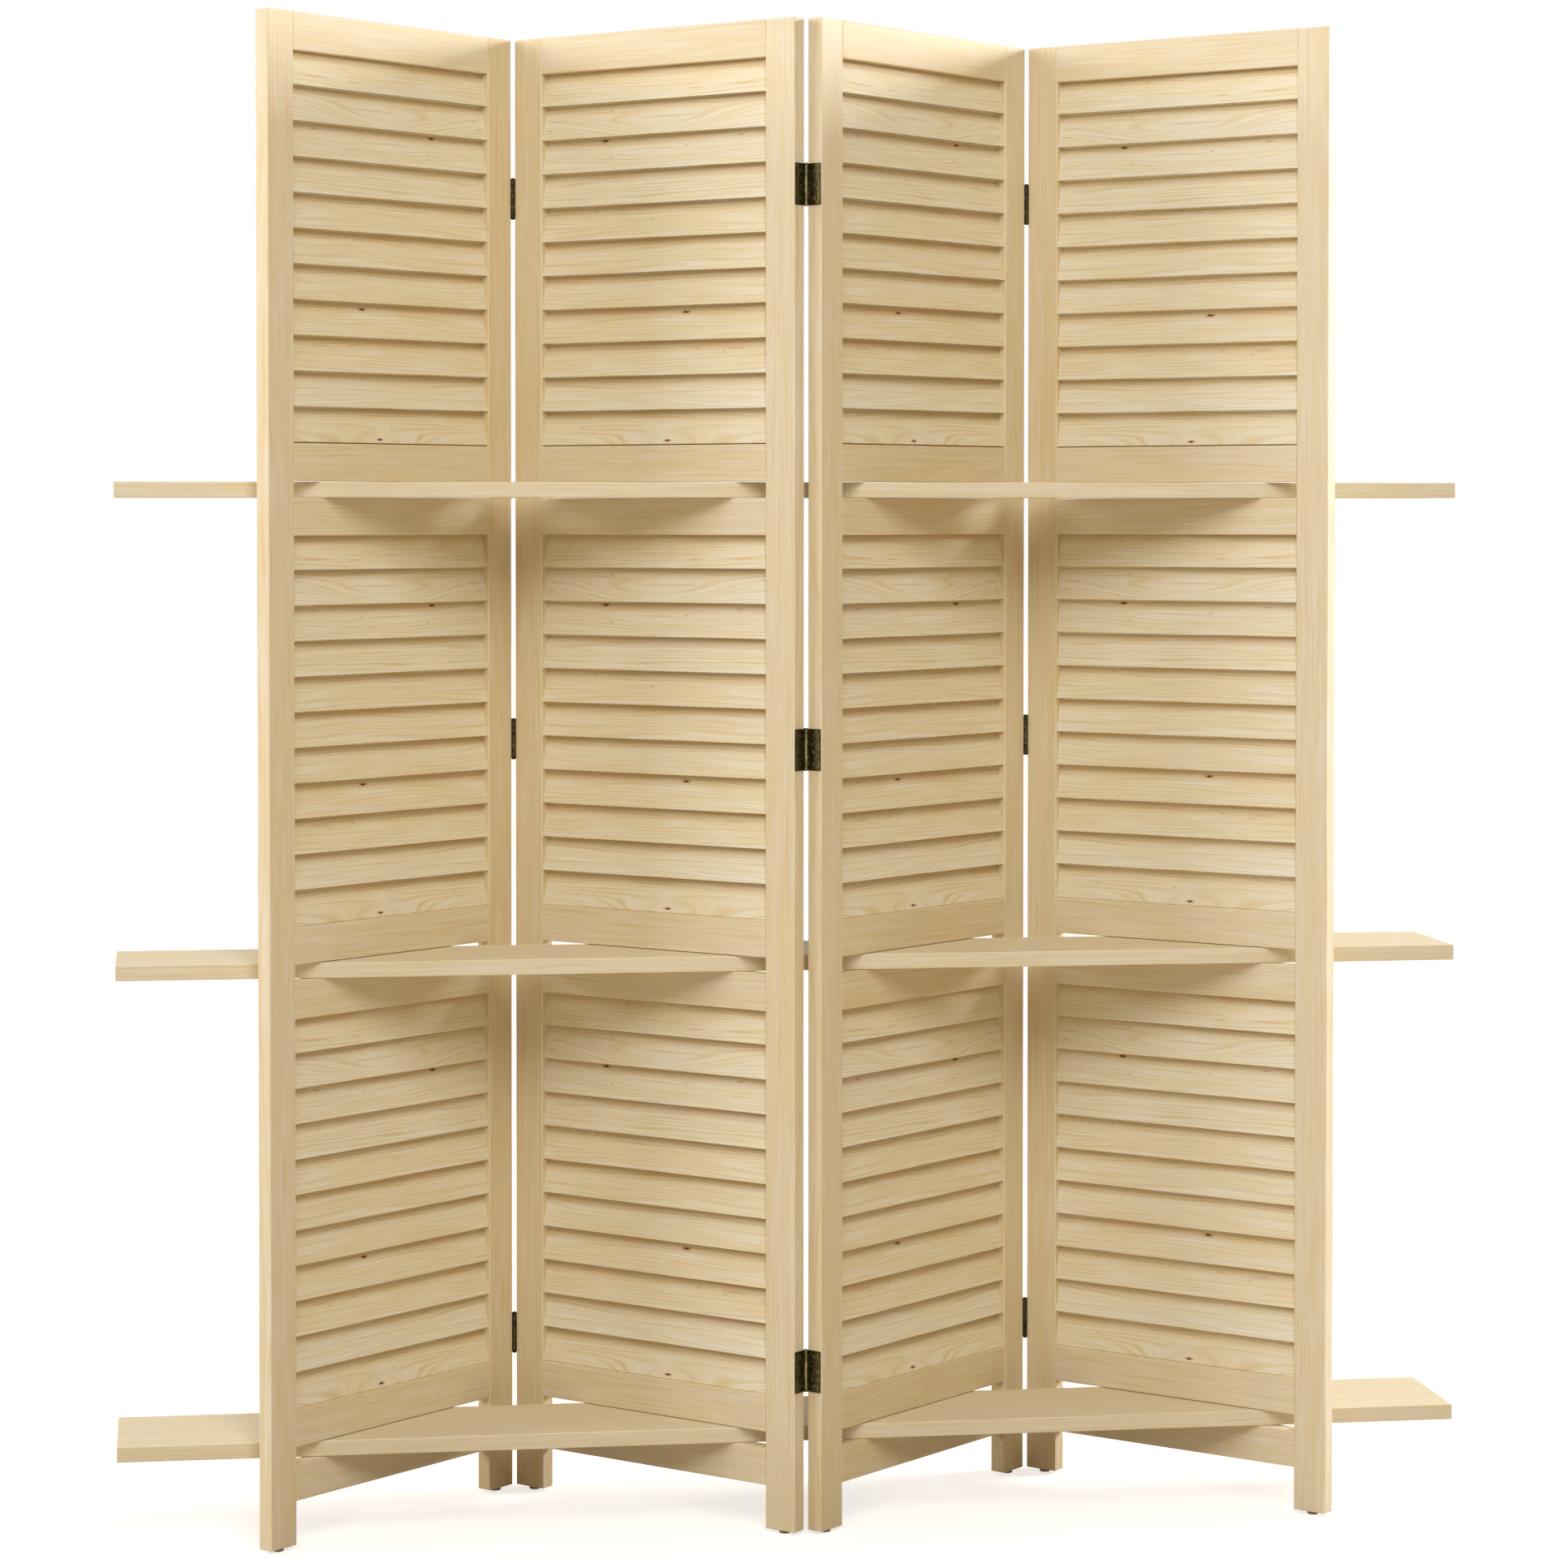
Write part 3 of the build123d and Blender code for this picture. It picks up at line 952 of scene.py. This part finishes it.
@dataclass
class Panel:
    """One louvred panel: stiles, rails and leaning slats."""

    index: int
    sizes: ScreenSizes
    pine: dict[str, Material]
    cuts: Cuts

    SEED = 40
    STILE_SEEDS = 9
    BAY_SEEDS = 20
    PANEL_SEEDS = 100
    TONE_SPREAD = 0.15
    BOW = 0.25
    LOG_LENGTH = 900.0
    LOG_WIDTH = 600.0
    STILE_STEPS = (50.0, 7.0)

    def __post_init__(self) -> None:
        """Works out the panel's place, its name and its way of repeating the boards."""
        self.place = self.sizes.panel_place(self.index)
        self.name = f"panel_{self.index + 1}"
        self.grain = Grain.MIRRORED if self.index % 2 == 0 else Grain.PLAIN
        self.rng = np.random.default_rng(self.SEED + self.index)

    def tone(self, cut: float) -> float:
        """Lightness of one board, close to that of its kind in this panel."""
        return cut + float(self.rng.uniform(-self.TONE_SPREAD, self.TONE_SPREAD))

    def along(self) -> tuple[float, float]:
        """Factor and offset from the panel's X to millimetres along a plank."""
        return float(self.grain.value), 0.0 if self.grain is Grain.PLAIN else self.sizes.panel_width

    def settle(self, stock: Stock, node: str, slot: str, body: str) -> None:
        """Makes a piece, puts it on its body and in place of its plain node.

        Args:
            stock: Bars of the piece.
            node: Plain node that the piece stands for.
            slot: Material slot of the record.
            body: Body that carries the piece.
        """
        made = stock.make(self.pine[slot])
        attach(made, body)
        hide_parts(node)
        LOG.info("%s: %d faces", made.name, len(stock.faces))

    def stile(self, side: str, cut: float) -> None:
        """Upright on one side of the panel.

        Args:
            side: left or right.
            cut: How light the board is, from -1 to 1.
        """
        s = self.sizes
        x = 0.0 if side == "left" else s.panel_width - s.stile_width
        sizes = (s.stile_height, s.panel_thickness, s.stile_width, s.stile_radius)
        bar = Bar(*sizes, seed=self.index * self.STILE_SEEDS + len(side), steps=Bar.LONG_STEPS)
        upright = matrix(((0, 0, -1, x + s.stile_width), (0, 1, 0, 0), (1, 0, 0, s.glide_height)))
        factor, _ = self.along()
        start = float(self.rng.uniform(0, self.LOG_LENGTH))
        across, deep = (step * self.index for step in self.STILE_STEPS)
        board = matrix(((1, 0, 0, start), (0, 0, factor, across), (0, 1, 0, deep)))
        stock = Stock(f"{self.name}_{side}_upright")
        stock.add(bar, self.place @ upright, board, self.tone(cut))
        self.settle(stock, f"{self.name}_{side}_stile", "pine_stiles", self.name)

    def rails(self, name: str, node: str, bases: Sequence[float]) -> None:
        """Cross rails that share one node.

        Args:
            name: Name of the piece.
            node: Plain node that it stands for.
            bases: Heights of the rails' undersides.
        """
        s = self.sizes
        stock = Stock(f"{self.name}_{name}")
        factor, offset = self.along()
        for base in bases:
            seed = int(base) + self.index
            bar = Bar(s.inner_width, s.panel_thickness, s.rail_height, s.rail_radius, seed=seed)
            local = Matrix.Translation((s.stile_width, 0, base))
            across = float(self.rng.uniform(0, self.LOG_WIDTH))
            along = offset + factor * s.stile_width
            board = matrix(((factor, 0, 0, along), (0, 0, 1, across), (0, 1, 0, 0)))
            stock.add(bar, self.place @ local, board, self.tone(self.cuts.rails))
        self.settle(stock, node, "pine_rails", self.name)

    def louvres(self, bay: int) -> None:
        """Slats of one section, cut from one plank so that its figure runs on from slat to slat.

        Args:
            bay: Number of the section from the top.
        """
        s = self.sizes
        cos, sin = math.cos(s.lean), math.sin(s.lean)
        stock = Stock(f"{self.name}_{BAYS[bay]}_slats")
        factor, offset = self.along()
        start = s.stile_width - s.slat_entry
        length = s.inner_width + 2 * s.slat_entry
        for number in range(s.slat_count):
            width = s.top_slat_width if number == s.slat_count - 1 else s.slat_width
            relief, drop = s.slat_foot(bay, number)
            base = s.section_base(bay) + s.slat_lift - drop + number * s.slat_pitch
            bow = float(self.rng.uniform(-self.BOW, self.BOW))
            seed = number + self.BAY_SEEDS * bay + self.PANEL_SEEDS * self.index
            bar = Bar(length, s.slat_thickness, width, s.slat_radius, relief, bow, seed)
            local = matrix(((1, 0, 0, start), (0, cos, sin, s.slat_setback), (0, -sin, cos, base)))
            along, across = offset + factor * start, number * s.slat_pitch - drop
            board = matrix(((factor, 0, 0, along), (0, 0, 1, across), (0, 1, 0, 0)))
            stock.add(bar, self.place @ local, board, self.tone(self.cuts.slats))
        self.settle(stock, f"{self.name}_{BAYS[bay]}_louvres", "pine_slats", self.name)

    def build(self) -> None:
        """Builds every wooden piece of the panel."""
        self.stile("left", self.cuts.left)
        self.stile("right", self.cuts.right)
        top = self.sizes.stile_top - self.sizes.rail_height
        self.rails("top_cross_rail", f"{self.name}_top_rail", [top])
        for bay, bay_name in enumerate(BAYS):
            bases = self.sizes.slot_rail_bases(bay)
            self.rails(f"{bay_name}_slot_pair", f"{self.name}_{bay_name}_slot_rails", bases)
            self.louvres(bay)


@dataclass
class Shelf:
    """Loose board that runs through the slots of all panels."""

    bay: int
    sizes: ScreenSizes
    pine: Material
    cut: float = 0.3

    SEED = 900
    STEPS = (300.0, 200.0)

    def build(self) -> None:
        """Builds the board and puts it on its body."""
        s = self.sizes
        front = s.axis_end_gap + s.stile_width + s.shelf_folded_clearance - s.depth / 2
        base = s.slot_rail_bases(self.bay)[1] + s.rail_height + s.shelf_seat_gap
        sizes = (s.shelf_length, s.shelf_depth, s.shelf_thickness, s.shelf_radius)
        bar = Bar(*sizes, seed=self.SEED + self.bay, steps=Bar.LONG_STEPS)
        local = Matrix.Translation((-s.shelf_length / 2, front, base))
        along, across = (step * self.bay for step in self.STEPS)
        board = matrix(((1, 0, 0, along), (0, 1, 0, across), (0, 0, 1, 0)))
        stock = Stock(f"{BAYS[self.bay]}_board")
        stock.add(bar, local, board, self.cut)
        made = stock.make(self.pine)
        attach(made, f"{BAYS[self.bay]}_shelf_board")
        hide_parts(f"{BAYS[self.bay]}_shelf")
        LOG.info("%s: %d faces", made.name, len(stock.faces))


@dataclass
class Hardware:
    """Hinges and foot glides, which keep their plain nodes and get their finishes."""

    finishes: dict[str, Material]

    def build(self) -> None:
        """Dresses every plain node of metal or plastic."""
        for name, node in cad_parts.items():
            if "hinge_screws" in name:
                self.dress(node, "hinge_screws")
            elif "hinge_leaves" in name or "hinge_pins" in name:
                self.dress(node, "aged_brass")
            elif "foot_glides" in name:
                self.dress(node, "glide_plastic")

    def dress(self, node: bpy.types.Object, slot: str) -> None:
        """Puts a finish in every material slot of a node.

        Args:
            node: The node.
            slot: Material slot of the record.
        """
        for place in node.material_slots:
            place.material = self.finishes[slot]
        LOG.info("%s: %s", node.name, slot)


@dataclass(frozen=True)
class Lamp:
    """Area lamp aimed at the middle of the screen from a direction."""

    name: str
    azimuth: float
    elevation: float
    height: float
    power: float
    width: float = 1.2
    distance: float = 5.0
    aim: tuple[float, float, float] = (0.0, 0.0, 0.9)

    def build(self) -> None:
        """Makes the lamp; azimuth 0 is in front of the screen and 90 on its right."""
        data = bpy.data.lights.new(self.name, "AREA")
        data.shape = "RECTANGLE"
        data.size = self.width
        data.size_y = self.height
        data.energy = self.power
        made = add_object(self.name, data)
        a, e = math.radians(self.azimuth), math.radians(self.elevation)
        away = Vector((math.sin(a) * math.cos(e), -math.cos(a) * math.cos(e), math.sin(e)))
        made.location = Vector(self.aim) + away * self.distance
        made.rotation_mode = "QUATERNION"
        made.rotation_quaternion = away.to_track_quat("Z", "Y")


@dataclass(frozen=True)
class Studio:
    """White surroundings, floor, lamps and camera."""

    lamps: tuple[Lamp, ...]
    surround: float = 0.32
    surround_colour: Colour = (1.0, 0.80, 0.50)
    floor_colour: Colour = (0.56, 0.50, 0.43)
    floor_glow: float = 0.72
    floor_fade: tuple[float, float] = (0.9, 2.4)
    floor_half_width: float = 14.0
    floor_front: float = -9.0
    floor_back: float = 30.0
    lens: float = 94.178
    shift: tuple[float, float] = (0.01408, -0.11698)
    camera_place: tuple[float, float, float] = (-0.70489, -4.66923, 1.15152)
    camera_yaw: float = 8.2126
    camera_pitch: float = -1.2674

    def seen(self, graph: Graph) -> Signal:
        """1 for rays that see a surface from the camera, in a gloss or through glass."""
        rays = (graph.node("LightPath", {}, {}, f"Is {kind} Ray") for kind in SEEN_RAYS)
        return graph.maths("MINIMUM", sum(rays), 1.0)

    def world(self) -> None:
        """White surroundings that light the object at their own, lower strength."""
        made = bpy.data.worlds.new("surroundings")
        made.use_nodes = True
        bpy.context.scene.world = made
        graph = Graph(made.node_tree)
        white = graph.node("Background", {}, {"Color": WHITE, "Strength": 1.0})
        soft = graph.node(
            "Background", {}, {"Color": self.surround_colour, "Strength": self.surround}
        )
        mixed = graph.node("MixShader", {}, {0: self.seen(graph), 1: soft, 2: white})
        graph.node("OutputWorld", {}, {"Surface": mixed})

    def floor(self) -> None:
        """Pale floor that shows white and keeps the soft shadow."""
        material, graph = new_material("pale_floor")
        plain = graph.node("BsdfDiffuse", {}, {"Color": self.floor_colour})
        near, far = (
            graph.node("Emission", {}, {"Color": WHITE, "Strength": strength})
            for strength in (self.floor_glow, 1.0)
        )
        place = graph.node("NewGeometry", {}, {}, "Position")
        away = graph.vector("LENGTH", place, output="Value").step(*self.floor_fade)
        glow = graph.node("MixShader", {}, {0: away, 1: near, 2: far})
        bright = graph.node("AddShader", {}, {0: plain, 1: glow})
        mixed = graph.node("MixShader", {}, {0: self.seen(graph), 1: plain, 2: bright})
        graph.node("OutputMaterial", {}, {"Surface": mixed})
        w, front, back = self.floor_half_width, self.floor_front, self.floor_back
        corners = [(-w, front, 0), (w, front, 0), (w, back, 0), (-w, back, 0)]
        mesh = bpy.data.meshes.new("floor")
        mesh.from_pydata(corners, [], [(0, 1, 2, 3)])
        mesh.materials.append(material)
        made = add_object("floor", mesh)

    def camera(self) -> None:
        """Camera at the photograph's place and angle."""
        data = bpy.data.cameras.new("camera")
        data.lens = self.lens
        data.shift_x, data.shift_y = self.shift
        data.clip_end = 100.0
        made = add_object("camera", data)
        yaw, pitch = math.radians(self.camera_yaw), math.radians(self.camera_pitch)
        made.location = self.camera_place
        made.rotation_euler = (math.pi / 2 + pitch, 0.0, -yaw)
        bpy.context.scene.camera = made

    def build(self) -> None:
        """Builds the whole studio."""
        self.camera()
        self.world()
        self.floor()
        for lamp in self.lamps:
            lamp.build()
        bpy.context.scene.view_settings.view_transform = "Standard"


CUTS = (
    Cuts(left=0.1, right=-0.6, rails=0.1, slats=0.1),
    Cuts(left=-0.5, right=0.4, rails=0.5, slats=0.4),
    Cuts(left=0.0, right=-0.3, rails=-0.7, slats=0.0),
    Cuts(left=-0.2, right=0.5, rails=0.8, slats=0.7),
)

SLAT_PLANK = Plank(
    knots=(
        Knot(126.5, 351.0, 3.6, 1.2),
        Knot(242.5, 151.0, 3.8, 1.2),
        Knot(221.0, 4.0, 3.3, 1.1),
    ),
    flecks=(
        Knot(124.3, 424.4),
        Knot(158.4, 425.0),
        Knot(76.0, 418.0, 1.6),
        Knot(136.8, 385.7, 3.0),
        Knot(51.5, 365.4, 4.5),
        Knot(244.8, 340.4, 3.0),
        Knot(138.3, 331.0, 2.8),
        Knot(112.7, 269.6),
        Knot(195.8, 258.0),
        Knot(260.0, 108.7, 2.4, 1.0),
        Knot(298.0, 104.3),
        Knot(95.0, 19.7),
        Knot(110.0, 13.7, 2.0),
        Knot(197.7, 19.3),
        Knot(319.0, 348.5, 6.0, 1.0),
    ),
    streaks=(
        Knot(260.0, 403.7, 12.0, 1.4),
        Knot(323.0, 405.2, 30.0, 1.5),
        Knot(58.0, 376.0, 14.0, 1.2),
        Knot(225.0, 374.5, 60.0, 1.0),
        Knot(311.0, 108.5, 20.0, 1.6),
    ),
    flames=(
        Flame(128.0, 354.0, 44.0, 9.0),
        Flame(196.0, 372.0, 120.0, 15.0),
        Flame(300.0, 347.0, 40.0, 6.0),
        Flame(226.0, 2.0, 98.0, 21.0),
    ),
    bands=(
        Band(416.0, 16.0, 0.75),
        Band(250.0, 15.0, 0.9),
        Band(217.0, 19.0, 0.65),
        Band(177.0, 20.0, 0.35),
        Band(118.0, 40.0, 0.85),
        Band(15.0, 20.0, 0.4),
    ),
)

LAMPS = (
    Lamp("front_key", 0.0, 38.0, 2.8, 103.0),
    Lamp("left_front", -28.0, 28.0, 1.2, 25.0),
    Lamp("left_side", -79.0, 23.0, 2.4, 60.0),
    Lamp("left_edge", -100.0, 20.0, 1.2, 78.0),
    Lamp("right_edge", 100.0, 16.5, 1.3, 235.0),
)


def main() -> None:
    """Builds the screen and its studio."""
    logging.basicConfig(level=logging.INFO, format="%(message)s")
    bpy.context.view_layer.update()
    Studio(LAMPS).build()
    sizes = ScreenSizes()
    pine = {
        "pine_stiles": PineFinish("pine_stiles", ring_strength=0.5, wander=9.0).make(),
        "pine_rails": PineFinish(
            "pine_rails", ring_width=4.1, ring_strength=0.55, wander=9.0
        ).make(),
        "pine_slats": PineFinish(
            "pine_slats",
            SLAT_PLANK,
            early=(0.80, 0.735, 0.565),
            pale=(0.825, 0.775, 0.655),
            warm=(0.785, 0.68, 0.46),
            ring_strength=0.6,
            # the painted shade under each lip repeats at the slat pitch
            groove_pitch=sizes.slat_pitch,
            wander=22.0,
        ).make(),
        "pine_shelves": PineFinish(
            "pine_shelves",
            early=(0.77, 0.68, 0.495),
            pale=(0.80, 0.73, 0.59),
            warm=(0.75, 0.63, 0.41),
            wander=14.0,
            ring_slope=1.6,
        ).make(),
    }
    metal = {
        "aged_brass": BrassFinish("aged_brass", sizes.hinge_highlights_and_rims()).make(),
        "hinge_screws": BrassFinish(
            "screw_brass", mid=(0.20, 0.17, 0.08), light=(0.42, 0.36, 0.20), scale=420.0
        ).make(),
        "glide_plastic": GlideFinish("glide_plastic").make(),
    }
    for index in range(sizes.panel_count):
        Panel(index, sizes, pine, CUTS[index]).build()
    for bay in range(len(BAYS)):
        Shelf(bay, sizes, pine["pine_shelves"]).build()
    Hardware(metal).build()


if __name__ == "__main__":
    main()
